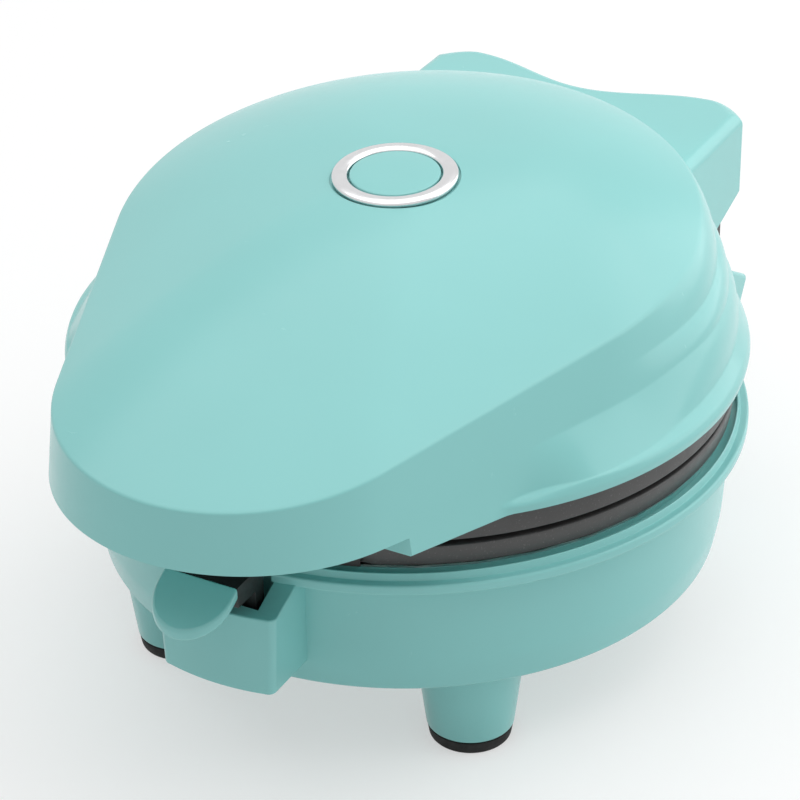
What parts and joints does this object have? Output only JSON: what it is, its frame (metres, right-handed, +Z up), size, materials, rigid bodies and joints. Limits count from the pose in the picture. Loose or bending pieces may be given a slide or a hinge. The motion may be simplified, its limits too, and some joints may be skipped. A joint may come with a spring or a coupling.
{
  "type": "mini contact grill",
  "caption": "Compact round contact grill with a pear-shaped aqua lid, rear hinge, sprung front latch tab and two facing ridged plates that press and heat food.",
  "frame": {"origin": "centre of the bounding box's underside, on the table the four foot pads stand on", "axes": "+Z up; -Y towards the nose of the lid and the latch, +Y towards the hinge; X across, the plane of symmetry being x = 0"},
  "size_m": [0.13, 0.1748, 0.0948],
  "materials": {
    "aqua_shell": "gloss moulded",
    "plate_coating": "satin non-stick coating",
    "black_parts": "satin moulded",
    "grey_bracket": "satin moulded",
    "foot_rubber": "matte",
    "steel_hardware": "plain",
    "reflector_sheet": "plain sheet",
    "chrome_trim": "polished"
  },
  "bodies": {
    "base": {"base_shell": "aqua_shell", "base_cover": "aqua_shell", "foot_pad_front_left": "foot_rubber", "foot_pad_front_right": "foot_rubber", "foot_pad_rear_left": "foot_rubber", "foot_pad_rear_right": "foot_rubber", "cover_screw_1": "steel_hardware", "cover_screw_2": "steel_hardware", "cover_screw_3": "steel_hardware", "cover_screw_4": "steel_hardware", "lower_plate": "plate_coating", "lower_reflector": "reflector_sheet", "lower_heater": "steel_hardware", "thermostat": "black_parts", "thermal_fuse": "steel_hardware", "cord_inlet": "foot_rubber", "hinge_pin": "steel_hardware", "latch_pin": "steel_hardware", "latch_spring": "steel_hardware"},
    "latch": {"latch_hook": "black_parts", "latch_tab": "aqua_shell"},
    "lid": {"lid_shell": "aqua_shell", "lid_strike": "black_parts", "upper_plate": "plate_coating", "upper_reflector": "reflector_sheet", "upper_heater": "steel_hardware", "hinge_bracket": "grey_bracket", "bracket_screw_left": "steel_hardware", "bracket_screw_right": "steel_hardware", "badge_ring": "chrome_trim", "badge_disc": "aqua_shell"}
  },
  "joints": [
    {"name": "lid_hinge", "type": "hinge", "parent": "base", "child": "lid", "pos_m": [0, 0.0758, 0.0483], "axis": [-1, 0, 0], "range_deg": [0, 95]},
    {"name": "latch_press", "type": "hinge", "parent": "base", "child": "latch", "pos_m": [0, -0.0618, 0.036], "axis": [1, 0, 0], "range_deg": [0, 8], "stiffness_Nm_per_rad": 0.05}
  ]
}
